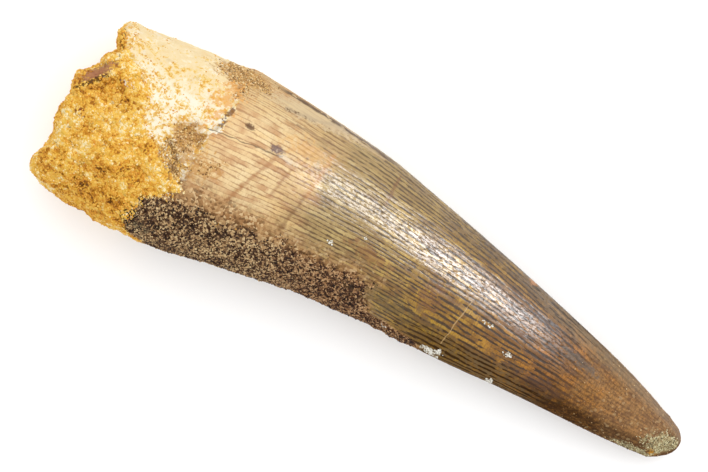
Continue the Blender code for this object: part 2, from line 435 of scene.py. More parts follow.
tipward = smooth_step(*FLUTE_CHANGE, along)
flutes = round_noise(FLUTE_LENGTH, FLUTES_ROOTWARD) * (1.0 - tipward)
flutes += round_noise(FLUTE_LENGTH, FLUTES_TIPWARD, offset=31.0) * tipward
enamel = smooth_step(-0.3, 0.3, enamel_in + 0.5 * soft_noise((1.1, 0.8, 1.1), 4.0))
crust = smooth_step(-0.5, 0.5, crust_in + 0.9 * soft_noise(1.7, 9.0))
band = smooth_step(-0.6, 0.6, band_in + 0.9 * soft_noise(1.9, 14.0)) * (1.0 - crust)
enamel = enamel * (1.0 - band) * (1.0 - crust)
chalk = (1.0 - enamel) * (1.0 - band) * (1.0 - crust)
relief = enamel * FLUTE_HEIGHT * 2.0 * flutes
print("flutes from", round(relief.min(), 3), "to", round(relief.max(), 3), "mm")

# %% Crust, grit and chalk
lumps = 0.30 * soft_noise(1.25, 2.0, layers=3)
crumbs = 0.10 * soft_noise(0.45)
grit = 0.16 * soft_noise(0.9, 3.0, layers=3)
dust = 0.08 * soft_noise(0.4)
relief += crust * (lumps + crumbs)
relief += band * (grit + dust)
relief += chalk * 0.10 * soft_noise(1.4, 5.0, layers=3)
relief += enamel * 0.025 * soft_noise((0.8, 0.5, 0.5), 6.0, layers=2)
print("relief of the zones from", round(relief.min(), 2), "to", round(relief.max(), 2), "mm")

# %% Pits, ledges and chips
ENAMEL_THICKNESS = 0.20
RIM_HEIGHT = 0.16
# Each pit is a centre, radii, a slant in degrees and a depth.
PITS = [
    ((14.6, 0.3), (1.6, 1.4), 0.0, 0.22), ((14.2, -2.4), (1.4, 0.5), -50.0, 0.26),
    ((3.0, -0.1), (2.9, 0.42), 48.0, 0.38), ((2.3, 1.5), (2.3, 0.85), 50.0, 0.22),
    ((5.6, 0.1), (1.6, 1.0), 20.0, 0.30), ((76.8, -3.6), (1.0, 0.8), 0.0, 0.22),
    ((19.7, 4.6), (0.6, 0.35), 0.0, 0.12), ((23.5, 3.9), (0.8, 0.45), 0.0, 0.12),
]

relief -= ENAMEL_THICKNESS * chalk
relief += RIM_HEIGHT * (spot((15.0, 0.35), (2.3, 2.1)) - spot((14.7, 0.3), (1.9, 1.7)))
relief -= spots(PITS)
cavity = relief - blurred(relief, 2.0, 4.0)
print("relief from", round(relief.min(), 2), "to", round(relief.max(), 2), "mm")

# %% The skin's mesh
FLOOR_GAP = 0.01
BOX_MARGIN = 0.2


def skin_mesh(points):
    """A closed net of hoops and ribs, with one corner at each end."""
    hoops, ribs = points.shape[:2]
    root_end = starts[0] + np.array([-1.0, 0.0, 0.0]) * end_lengths[0]
    tip_end = starts[-1] + np.array([1.0, 0.0, 0.0]) * end_lengths[1]
    corners = np.concatenate([points.reshape(-1, 3), root_end[None], tip_end[None]]) * MM
    first = hoops * ribs
    faces = []
    for rib in range(ribs):
        after = (rib + 1) % ribs
        faces.append((first, after, rib))
        for hoop in range(hoops - 1):
            low, high = hoop * ribs, (hoop + 1) * ribs
            faces.append((low + rib, low + after, high + after, high + rib))
        faces.append((first + 1, (hoops - 1) * ribs + rib, (hoops - 1) * ribs + after))
    mesh = bpy.data.meshes.new("tooth_skin")
    mesh.from_pydata(corners.tolist(), [], faces)
    mesh.shade_smooth()
    return mesh


skin_points = points + normals * relief[:, :, None]
for axis, (low, high) in enumerate(zip(box_low, box_high)):
    skin_points[:, :, axis] = np.clip(skin_points[:, :, axis], low / MM - BOX_MARGIN, high / MM + BOX_MARGIN)
skin_points[:, :, 2] = np.maximum(skin_points[:, :, 2], FLOOR_GAP)
skin = add_object("tooth_skin", skin_mesh(skin_points))
print("skin", len(skin.data.polygons), "faces")

# %% Places that the shader reads
def store(mesh, name, values):
    """Write one value or one vector for each corner of a mesh."""
    kind, key = ("FLOAT_VECTOR", "vector") if values.ndim == 2 else ("FLOAT", "value")
    attribute = mesh.attributes.new(name, kind, "POINT")
    attribute.data.foreach_set(key, values.astype(np.float32).ravel())


where = np.stack([along, across, height], axis=-1)
fields = {
    "place": where,
    "turn": np.stack([along, np.cos(turn_grid), np.sin(turn_grid)], axis=-1),
    "crust_in": crust_in,
    "band_in": band_in,
    "enamel_in": enamel_in,
    "bare_face": bare_face,
    "cavity": cavity,
}
# The two corners at the ends of the net repeat what a neighbour holds.
for name, field in fields.items():
    rows = field.reshape(-1, *field.shape[2:])
    store(skin.data, name, np.concatenate([rows, rows[:1], rows[-1:]]))
print("attributes", list(fields))


# %% A map for the skin
def lay_map(mesh, places):
    """Give each corner of each face its place on the map."""
    mesh.uv_layers.new(name="OFBake").uv.foreach_set("vector", np.asarray(places, np.float32).ravel())


def unroll(mesh, hoops, ribs):
    """Unroll the skin like a label off a tin: ribs go up, and hoops go across."""
    steps = np.linalg.norm(np.diff(skin_points, axis=0), axis=-1).mean(axis=1)
    reached = np.concatenate([[0.0], np.cumsum(steps)])
    margin = reached[-1] / hoops
    level = (reached + margin) / (reached[-1] + 2.0 * margin)
    places = []
    for rib in range(ribs):
        here, after = rib / ribs, (rib + 1) / ribs
        places += [((here + after) / 2.0, 0.0), (after, level[0]), (here, level[0])]
        for hoop in range(hoops - 1):
            low, high = level[hoop], level[hoop + 1]
            places += [(here, low), (after, low), (after, high), (here, high)]
        places += [((here + after) / 2.0, 1.0), (here, level[-1]), (after, level[-1])]
    lay_map(mesh, places)


unroll(skin.data, *skin_points.shape[:2])
print("map", skin.data.uv_layers[0].name)

# %% [markdown]
# ## Tools for building shaders
# A shader is a tree of nodes, and wiring it by hand takes many lines. Here a **wire** is the output of a
# node, and adding or multiplying wires puts in the nodes that do it, so a finish can be read like a sum.
# The helpers after it put in one node each and hand back its wire.

# %% Wires
class Wire:
    """The output of a node. A sum with it puts in a node of arithmetic."""

    def __init__(self, tree, socket):
        self.tree = tree
        self.socket = socket

    def __add__(self, other):
        return calc("ADD", self, other)

    def __sub__(self, other):
        return calc("SUBTRACT", self, other)

    def __rsub__(self, other):
        return calc("SUBTRACT", other, self)

    def __mul__(self, other):
        return calc("MULTIPLY", self, other)

    def __truediv__(self, other):
        return calc("DIVIDE", self, other)

    def __rtruediv__(self, other):
        return calc("DIVIDE", other, self)

    def clamped(self):
        """The same sum, kept between 0 and 1."""
        self.socket.node.use_clamp = True
        return self


def tree_of(*values):
    """The tree of the first wire among some values."""
    return next(value.tree for value in values if isinstance(value, Wire))


def feed(socket, value):
    """Give a socket a constant, or link it if the value is a wire."""
    if isinstance(value, Wire):
        value.tree.links.new(value.socket, socket)
    elif value is not None:
        socket.default_value = value


def put(tree, kind, output=0, **inputs):
    """Put in a node, feed its named inputs and hand back one output."""
    made = tree.nodes.new(kind)
    for name, value in inputs.items():
        feed(made.inputs[name.replace("_", " ")], value)
    return Wire(tree, made.outputs[output])


def calc(operation, *values):
    """One step of arithmetic."""
    tree = tree_of(*values)
    made = tree.nodes.new("ShaderNodeMath")
    made.operation = operation
    for socket, value in zip(made.inputs, values):
        feed(socket, value)
    return Wire(tree, made.outputs[0])


# %% Places as vectors
def calc_vector(operation, first, second=None, scale=None, output=0):
    """One step of arithmetic on vectors."""
    tree = tree_of(first, second)
    made = tree.nodes.new("ShaderNodeVectorMath")
    made.operation = operation
    feed(made.inputs[0], first)
    feed(made.inputs[1], second)
    if scale is not None:
        feed(made.inputs["Scale"], scale)
    return Wire(tree, made.outputs[output])


def vector(x, y, z):
    """Three numbers as one vector."""
    return put(tree_of(x, y, z), "ShaderNodeCombineXYZ", X=x, Y=y, Z=z)


def parts(value):
    """One vector as three numbers."""
    made = value.tree.nodes.new("ShaderNodeSeparateXYZ")
    feed(made.inputs[0], value)
    return [Wire(value.tree, output) for output in made.outputs]


def read(tree, name, output="Fac"):
    """Read a value that the net's corners hold."""
    made = tree.nodes.new("ShaderNodeAttribute")
    made.attribute_name = name
    return Wire(tree, made.outputs[output])


def cloud(place, size, detail=2.0, roughness=0.5):
    """Soft noise around 0.5 whose features are about this many units wide."""
    settings = {"Scale": 1.0 / size, "Detail": detail, "Roughness": roughness}
    return put(place.tree, "ShaderNodeTexNoise", Vector=place, **settings)


# %% Colours
def rise(value, low, high, to_low=0.0, to_high=1.0):
    """Stretch a value from low..high to to_low..to_high with soft ends."""
    made = value.tree.nodes.new("ShaderNodeMapRange")
    made.interpolation_type = "SMOOTHSTEP"
    feed(made.inputs["Value"], value)
    for name, number in (("From Min", low), ("From Max", high), ("To Min", to_low), ("To Max", to_high)):
        made.inputs[name].default_value = number
    return Wire(value.tree, made.outputs[0])


def layer(share, below, above, way="MIX"):
    """Lay one colour over another, as much as share says."""
    made = share.tree.nodes.new("ShaderNodeMix")
    made.data_type = "RGBA"
    made.blend_type = way
    feed(made.inputs[0], share)
    feed(made.inputs[6], below)
    feed(made.inputs[7], above)
    return Wire(share.tree, made.outputs[2])


def coat(colour, coats):
    """Lay several colours on in turn; coats are (share, colour)."""
    for share, tint in coats:
        colour = layer(share, colour, tint)
    return colour


def ramp(value, stops, unit=1.0):
    """A run of colours; stops are (place, red, green, blue), with the place in this unit."""
    made = value.tree.nodes.new("ShaderNodeValToRGB")
    elements = made.color_ramp.elements
    while len(elements) < len(stops):
        elements.new(0.5)
    for element, (place, *seen) in zip(elements, stops):
        element.position = place / unit
        element.color = linear(*seen)
    feed(made.inputs[0], value)
    return Wire(value.tree, made.outputs[0])


# %% Node groups
def new_group(name, inputs, outputs):
    """An empty node group. Inputs are (name, start value), where None is a place; outputs are names."""
    tree = bpy.data.node_groups.new(name, "ShaderNodeTree")
    for label, value in inputs:
        kind = "NodeSocketFloat" if isinstance(value, float) else "NodeSocketVector"
        socket = tree.interface.new_socket(label, in_out="INPUT", socket_type=kind)
        if value is not None:
            socket.default_value = value
    for label in outputs:
        tree.interface.new_socket(label, in_out="OUTPUT", socket_type="NodeSocketFloat")
    sockets = tree.nodes.new("NodeGroupInput").outputs
    start = {socket.name: Wire(tree, socket) for socket in sockets if socket.name}
    return tree, start, tree.nodes.new("NodeGroupOutput").inputs


def use(group, **inputs):
    """Place a group in a tree, feed it and hand back its outputs by name."""
    tree = tree_of(*inputs.values())
    made = tree.nodes.new("ShaderNodeGroup")
    made.node_tree = group
    for name, value in inputs.items():
        feed(made.inputs[name.replace("_", " ")], value)
    return {socket.name: Wire(tree, socket) for socket in made.outputs}


# %% [markdown]
# ## Effects in groups of their own
# **Ragged edge** turns a zone's millimetres into a share from 0 to 1, with a border that wanders.
# **Sand** packs the surface with grains: each has a number of its own, and a dome that falls away into
# the gap beside it. **Flutes** draws thin, broken, swaying lines along the tooth and gives the stripes
# between them a number each. **Crack** draws a wavy line between two places, and **mark** fills an
# uneven oval. Each could be wired anew wherever it is used, but a group keeps it in one place.

# %% Ragged edge
def ragged_edge_group():
    tree, start, end = new_group(
        "ragged edge",
        [("Inside", 0.0), ("Place", None), ("Wander", 0.5), ("Width", 1.0), ("Softness", 0.2)],
        ["Share"],
    )
    waves = cloud(start["Place"], start["Width"], detail=4.0, roughness=0.6) - 0.5
    moved = waves * 4.0 * start["Wander"] + start["Inside"]
    feed(end["Share"], (moved / start["Softness"] + 0.5).clamped())
    return tree


# %% Sand
def sand_group():
    tree, start, end = new_group("sand", [("Place", None), ("Size", 0.3)], ["Pick", "Dome"])
    cells = tree.nodes.new("ShaderNodeTexVoronoi")
    feed(cells.inputs["Vector"], start["Place"])
    feed(cells.inputs["Scale"], 1.0 / start["Size"])
    feed(end["Pick"], put(tree, "ShaderNodeSeparateColor", Color=Wire(tree, cells.outputs["Color"])))
    feed(end["Dome"], rise(Wire(tree, cells.outputs["Distance"]), 0.62, 0.1))
    return tree


# %% Flutes
WIDE_SWAY = 8.0
WIDE_SWING = 1.5
FINE_SWAY = 0.9
FINE_SWING = 0.38
BREAK_LENGTH = 1.7
STRIPE_LENGTH = 3.6
EVENING = 0.20
WIDEST_LINE = 0.22
LINE_EDGE = 0.11


def flutes_group():
    """Count is how many lines there are in one turn, Boldness how many of them show."""
    tree, start, end = new_group(
        "flutes", [("Turn", None), ("Count", 100.0), ("Boldness", 0.5)], ["Line", "Ridge", "Pick"]
    )
    ahead, cosine, sine = parts(start["Turn"])
    evened = cosine * sine * (2.0 * EVENING) + calc("ARCTAN2", cosine, sine)
    number = evened * (start["Count"] / (2.0 * math.pi))
    wide = (cloud(vector(ahead / WIDE_SWAY, number / 4.0, 0.0), 1.0) - 0.5) * WIDE_SWING
    fine = (cloud(vector(ahead / FINE_SWAY, number / 1.8, 5.0), 1.0) - 0.5) * FINE_SWING
    swayed = number + (wide + fine)
    nearest = calc("ROUND", swayed)
    away = calc("ABSOLUTE", swayed - nearest)
    line_place = vector(ahead / BREAK_LENGTH, nearest * 2.73, 3.0)
    strength = (cloud(line_place, 1.0, detail=3.0, roughness=0.6) - 0.37) * 1.2
    width = calc("MINIMUM", strength * start["Boldness"], WIDEST_LINE)
    frayed = (cloud(start["Turn"], 0.012) - 0.5) * 0.22 + away
    feed(end["Line"], ((width - frayed) / LINE_EDGE + 0.5).clamped())
    feed(end["Ridge"], rise(away, 0.0, 0.40))
    stripe_place = vector(ahead / STRIPE_LENGTH, calc("FLOOR", swayed) * 1.93, 9.0)
    feed(end["Pick"], rise(cloud(stripe_place, 1.0), 0.30, 0.70))
    return tree


# %% Crack
FLATTEN = (1.0, 1.0, 0.0)


def crack_group():
    tree, start, end = new_group(
        "crack",
        [("Place", None), ("Start", None), ("End", None), ("Width", 0.15), ("Wander", 0.3)],
        ["Share"],
    )
    waves = put(tree, "ShaderNodeTexNoise", output="Color", Vector=start["Place"], Scale=1.1, Detail=3.0)
    shift = calc_vector("SCALE", calc_vector("SUBTRACT", waves, (0.5, 0.5, 0.5)), scale=start["Wander"])
    place = calc_vector("MULTIPLY", calc_vector("ADD", start["Place"], shift), FLATTEN)
    span = calc_vector("SUBTRACT", start["End"], start["Start"])
    from_start = calc_vector("SUBTRACT", place, start["Start"])
    reached = calc_vector("DOT_PRODUCT", from_start, span, output="Value")
    length = calc_vector("DOT_PRODUCT", span, span, output="Value")
    nearest = calc_vector("SCALE", span, scale=(reached / length).clamped())
    away = calc_vector("LENGTH", calc_vector("SUBTRACT", from_start, nearest), output="Value")
    width = start["Width"] * cloud(start["Place"], 0.7) * 2.0
    feed(end["Share"], rise(away / width, 1.2, 0.1))
    return tree


# %% Mark
def mark_group():
    tree, start, end = new_group(
        "mark",
        [("Place", None), ("Centre", None), ("Radii", (1.0, 1.0, 1.0)), ("Angle", 0.0),
         ("Raggedness", 0.5), ("Softness", 0.3)],
        ["Share"],
    )
    flat = calc_vector("MULTIPLY", start["Place"], FLATTEN)
    turned = put(tree, "ShaderNodeVectorRotate", Vector=flat, Center=start["Centre"], Angle=start["Angle"])
    offset = calc_vector("DIVIDE", calc_vector("SUBTRACT", turned, start["Centre"]), start["Radii"])
    waves = cloud(start["Place"], 0.6, detail=4.0, roughness=0.65) - 0.5
    edge = waves * start["Raggedness"] * 3.5 + calc_vector("LENGTH", offset, output="Value")
    grit = (cloud(start["Place"], 0.22) - 0.5) * 3.0
    feed(end["Share"], ((1.0 - edge) / start["Softness"] + grit + 0.5).clamped())
    return tree


ragged_edge = ragged_edge_group()
sand = sand_group()
flute_lines = flutes_group()
crack = crack_group()
mark = mark_group()
print("groups", [g.name for g in bpy.data.node_groups])


# %% Short ways to two of the groups
def border(inside, place, wander, width, softness):
    """The share of a zone whose border wanders so far, in waves so wide."""
    edge = {"Wander": wander, "Width": width, "Softness": softness}
    return use(ragged_edge, Inside=inside, Place=place, **edge)["Share"]


def oval(place, centre, radii, slant, raggedness, softness):
    """The share of an uneven oval that is given by its centre, radii and slant in degrees."""
    shape = {"Centre": (*centre, 0.0), "Radii": (*radii, 1.0), "Angle": math.radians(-slant)}
    return use(mark, Place=place, Raggedness=raggedness, Softness=softness, **shape)["Share"]


# %% [markdown]
# ## The enamel
# The crown's colour runs from a pale tan next to the root, through olive, to golden brown and a reddish
# tip. Dark mineral has soaked into the lines between the flutes, and each flute has taken a tint of its
# own. As the tooth narrows the flutes run together, so there are fewer of them towards the tip. The two
# long edges are duller and greyer than the middle; towards the tip the grey of the upper edge is a painted
# sheen, and the lower edge is darkened further by painted shade. A painted picture would hold all this
# too, but noise and a few runs of colour stay sharp at any distance and go round the tooth without a seam.
#
# Each stop of a run is its distance from the root end in millimetres, and its colour as it is seen.

# %% Colours of the enamel
ENAMEL_BODY = [
    (15.5, 226, 186, 130), (22.0, 240, 214, 164), (27.5, 214, 178, 122), (30.5, 172, 144, 92),
    (38.0, 160, 130, 70), (46.0, 154, 112, 12), (54.0, 130, 84, 4), (61.0, 127, 80, 4),
    (70.0, 168, 126, 76), (77.5, 136, 102, 64),
]
ENAMEL_LINES = [
    (16.0, 164, 112, 74), (27.5, 134, 90, 56), (31.0, 84, 62, 38), (46.0, 60, 38, 10),
    (60.0, 50, 29, 6), (72.0, 84, 56, 36),
]
ENAMEL_LIGHT = [
    (16.0, 242, 212, 158), (27.5, 232, 196, 134), (31.0, 200, 176, 118), (46.0, 214, 168, 44),
    (60.0, 184, 116, 22), (74.0, 172, 126, 78),
]
ENAMEL_DEEP = [
    (16.0, 206, 154, 104), (27.5, 182, 130, 84), (31.0, 138, 108, 66), (46.0, 114, 73, 20),
    (60.0, 96, 55, 8), (74.0, 120, 86, 58),
]
# The upper edge's own duller colour; its grey stops towards the tip are a painted sheen.
UPPER_MARGIN_AND_SHEEN = [
    (16.0, 186, 146, 88), (26.0, 196, 164, 108), (38.0, 162, 136, 88), (50.0, 82, 63, 20),
    (62.0, 132, 122, 98), (75.0, 146, 128, 108),
]
# The lower edge is browner on its own, and its colours are darkened further as painted shade.
LOWER_MARGIN_AND_SHADE = [
    (36.0, 128, 98, 58), (48.0, 112, 89, 56), (57.0, 122, 100, 70), (64.0, 54, 33, 16),
    (75.0, 94, 68, 46),
]
CARINA_DARK = linear(92, 66, 44)
MARGIN_LINES = linear(96, 76, 56)
CARINA_TURN = 0.22
FLUTE_COUNT = 94.0
FLUTE_LOSSES = ((45.0, 36.0), (59.0, 18.0))
FINE_COUNT = 2.1 * FLUTE_COUNT


def along_ramp(level, stops):
    """A run of colours along the tooth; level is the share of the tooth's length."""
    return ramp(level, stops, unit=TOOTH_LENGTH)


def flute_count(turn_place):
    """How many lines there are round the tooth: some end at each loss, not all at one distance."""
    ahead, cosine, sine = parts(turn_place)
    wander = cloud(vector(ahead / 30.0, cosine, sine), 0.14, detail=1.0) - 0.5
    reached = wander * 22.0 + ahead
    count = FLUTE_COUNT
    for distance, fewer in FLUTE_LOSSES:
        count = count - calc("GREATER_THAN", reached, distance) * fewer
    return count


def carina_line(place, turn_place):
    """A broken dark line on the cutting edge that runs along the upper side of the crown."""
    ahead, cosine, sine = parts(turn_place)
    sway = cloud(place, 1.6, detail=3.0) - 0.5
    away = calc("ABSOLUTE", sway * 0.16 + calc("ARCTAN2", sine, cosine) - CARINA_TURN)
    line = rise(away, 0.08, 0.03) * rise(cloud(place, 0.8), 0.32, 0.44)
    return line * rise(ahead, 19.0, 22.0) * rise(ahead, 40.0, 32.0, 0.0, 0.9)


# %% The enamel's colour
def enamel_body(place, ahead, level, pick, mottle):
    """The crown's own colour, with a tint for each flute, and then patches, mottle, wear and fine ticks."""
    light = along_ramp(level, ENAMEL_LIGHT)
    deep = along_ramp(level, ENAMEL_DEEP)
    patches = cloud(calc_vector("MULTIPLY", place, (0.35, 1.0, 1.0)), 0.9, detail=3.0, roughness=0.6)
    blotches = cloud(place, 0.32, detail=4.0, roughness=0.75)
    ticks = cloud(calc_vector("MULTIPLY", place, (1.0, 0.2, 0.2)), 0.13, detail=1.0)
    weathered = rise(ahead, 57.0, 67.0, 0.0, 0.85)
    return coat(along_ramp(level, ENAMEL_BODY), [
        (rise(pick, 0.55, 1.0, to_high=0.75), light),
        (rise(pick, 0.45, 0.0, to_high=0.75), deep),
        (rise(patches, 0.58, 0.70) * rise(ahead, 28.0, 44.0, 0.2, 0.8), deep),
        (rise(mottle, 0.54, 0.68, to_high=0.6), deep),
        (rise(mottle, 0.46, 0.32, to_high=0.6), light),
        (rise(blotches, 0.50, 0.60) * weathered, deep),
        (rise(blotches, 0.47, 0.37) * weathered, light),
        (rise(ticks, 0.50, 0.62) * rise(ahead, 36.0, 46.0, 0.15, 0.5), deep),
    ])


def enamel_colour(place, turn_place):
    """Body, margins and dark lines of the crown; also its lines, its ridges and its shine."""
    ahead, _, _ = parts(place)
    _, cosine, _ = parts(turn_place)
    drift = cloud(place, 3.2, detail=3.0) - 0.5
    level = (drift * 9.0 + ahead) / TOOTH_LENGTH
    boldness = rise(ahead, 18.0, 54.0, 0.58, 1.45)
    fluting = use(flute_lines, Turn=turn_place, Count=flute_count(turn_place), Boldness=boldness)
    fine = use(flute_lines, Turn=turn_place, Count=FINE_COUNT, Boldness=0.8)["Line"]
    mottle = cloud(place, 0.45, detail=4.0, roughness=0.7)
    upper = rise(cosine, 0.48, 0.84)
    lower = rise(cosine, -0.40, -0.72) * rise(ahead, 38.0, 50.0)
    calm = rise(ahead, 60.0, 67.0, 1.0, 0.35) * (1.0 - upper * 0.10)
    dark = fluting["Line"] * calm * rise(ahead, 18.0, 40.0, 0.6, 0.95)
    colour = coat(enamel_body(place, ahead, level, fluting["Pick"], mottle), [
        # The upper margin, with a painted sheen in its grey towards the tip.
        (upper * rise(ahead, 20.0, 36.0, 0.35, 0.52), along_ramp(level, UPPER_MARGIN_AND_SHEEN)),
        # The lower margin: its own browner colour, darkened further as painted shade.
        (lower * rise(mottle, 0.38, 0.60, 0.50, 0.95), along_ramp(level, LOWER_MARGIN_AND_SHADE)),
        (fine * upper * rise(ahead, 66.0, 24.0, 0.0, 0.42), MARGIN_LINES),
        (dark, along_ramp(level, ENAMEL_LINES)),
    ])
    shine = 1.0 - calc("MAXIMUM", dark * 0.12, lower)
    return colour, dark, fluting["Ridge"], shine


# %% [markdown]
# ## The root, the crust and the sand
# The root is chalky white, creamier towards its upper edge, and peppered with ochre dots that run
# together. The crust on it is made of grains, and the tint of a grain follows from its own number and
# from where it lies: some areas are golden, some pale and some brown. The functions for the crust and for
# the dark sand colour the skin here and the real grains later, so that both belong together.

# %% Colours of the root and the sand
CHALK = linear(249, 239, 214)
CREAM = linear(241, 219, 174)
CREAM_DEEP = linear(236, 204, 146)
CREAM_PALE = linear(252, 242, 222)
CHALK_DOTS = linear(240, 206, 122)
CHALK_DOT_HEARTS = linear(222, 162, 66)
BAND_REDDENING = linear(178, 118, 92, lit=1.0)
CRUST_TINTS = [
    (0.0, 96, 60, 22), (0.20, 172, 110, 30), (0.40, 226, 158, 54), (0.6, 240, 188, 76),
    (0.84, 248, 206, 104), (1.0, 254, 236, 184),
]
BAND_TINTS = [
    (0.0, 34, 20, 12), (0.36, 70, 46, 30), (0.58, 118, 86, 58), (0.78, 190, 153, 106), (1.0, 224, 195, 146),
]
HAZE_TINTS = [(0.0, 104, 70, 42), (0.35, 160, 116, 72), (0.75, 192, 150, 102), (1.0, 224, 192, 146)]
# Areas of the crust: centre, radii, slant, raggedness, and how much paler or darker they are.
CRUST_SHADES = [
    ((5.2, 0.3), (2.4, 1.2), 15.0, 0.6, -0.15),
    ((8.6, 0.5), (1.6, 1.1), 0.0, 0.7, 0.06),
    ((8.5, -10.6), (4.2, 1.5), -8.0, 0.6, -0.16),
    ((2.0, -9.6), (2.4, 1.8), 0.0, 0.5, 0.05),
    ((10.0, -7.2), (2.6, 1.0), 0.0, 0.8, -0.05),
    ((7.4, -2.6), (2.2, 1.2), 20.0, 0.9, 0.14),
    ((2.8, -6.4), (1.4, 1.2), 0.0, 0.8, 0.04),
]


def root_colour(place):
    """The chalky root: white, cream towards its upper edge, with ochre dots."""
    _, aside, _ = parts(place)
    mottle = cloud(place, 1.1, detail=4.0, roughness=0.7)
    dots = put(place.tree, "ShaderNodeTexNoise", Vector=place, Scale=2.1, Detail=3.0, Roughness=0.65,
               Distortion=0.5)
    many = cloud(place, 3.0, detail=1.0) * 0.25
    near_crust = rise(read(place.tree, "crust_in"), -3.0, 0.0, to_high=0.05)
    dots = many + dots + near_crust + rise(aside, 6.4, 8.0, 0.0, -0.12)
    return coat(CHALK, [
        (border(aside - 4.8, place, 0.7, 2.5, 2.0), CREAM),
        (rise(mottle, 0.50, 0.66, to_high=0.45), CREAM_DEEP),
        (rise(mottle, 0.48, 0.34, to_high=0.6), CREAM_PALE),
        (rise(dots, 0.615, 0.69, to_high=0.9), CHALK_DOTS),
        (rise(dots, 0.70, 0.77, to_high=0.9), CHALK_DOT_HEARTS),
    ])


def crust_colour(place, pick):
    """The tint of a grain of crust: its own number, moved by where it lies."""
    broad = cloud(place, 2.6, detail=3.0, roughness=0.6) - 0.5
    clumps = cloud(place, 0.75, detail=3.0, roughness=0.6) - 0.5
    level = (pick - 0.5) * 0.52 + 0.63 + clumps * 1.3 + broad * 1.4
    for centre, radii, slant, raggedness, shift in CRUST_SHADES:
        level = oval(place, centre, radii, slant, raggedness, 0.9) * shift + level
    return ramp(level, CRUST_TINTS)


def band_colour(place, pick):
    """The tint of a grain of the dark sand: redder and darker towards the tip."""
    ahead, _, _ = parts(place)
    level = (cloud(place, 2.2) - 0.5) * 0.7 + pick + rise(ahead, 18.0, 24.0, -0.04, 0.04)
    reddish = rise(ahead, 24.0, 36.0, to_high=0.45)
    return layer(reddish, ramp(level, BAND_TINTS), BAND_REDDENING, way="MULTIPLY")


# %% [markdown]
# ## Marks and cracks
# Each crack is given by its two ends, its width, its colour and its strength. Each mark is an oval given
# by its centre, its half length and half width, its slant, how ragged it is, its colour and its strength.
# All of them lie on the bare face, where the photograph shows them.

# %% Marks and cracks
CRACKS = [
    ((23.75, 2.9), (22.1, -1.5), 0.30, (170, 116, 72), 0.55),
    ((22.1, -1.5), (21.5, -3.5), 0.34, (170, 116, 72), 0.55),
    ((25.85, 2.7), (25.3, -0.7), 0.24, (160, 110, 68), 0.5),
    ((29.1, 6.3), (28.7, 1.1), 0.40, (196, 132, 66), 0.5),
    ((28.6, 1.1), (28.0, -3.4), 0.30, (130, 92, 54), 0.5),
    ((36.4, 8.0), (36.6, 4.6), 0.26, (126, 82, 46), 0.6),
    ((49.9, 0.1), (49.2, -5.4), 0.08, (206, 170, 116), 0.7),
    ((15.5, 2.1), (24.4, 3.5), 0.10, (92, 66, 48), 0.75),
    ((22.2, 8.3), (25.4, 8.7), 0.30, (92, 62, 40), 0.9),
    ((25.4, 8.7), (27.3, 9.4), 0.24, (84, 56, 40), 0.8),
    ((27.2, 9.3), (29.2, 9.4), 0.30, (84, 50, 36), 0.8),
    ((29.6, 9.2), (34.0, 8.8), 0.16, (214, 184, 140), 0.5),
    ((24.0, 7.3), (28.4, 7.4), 0.16, (126, 92, 64), 0.6),
]
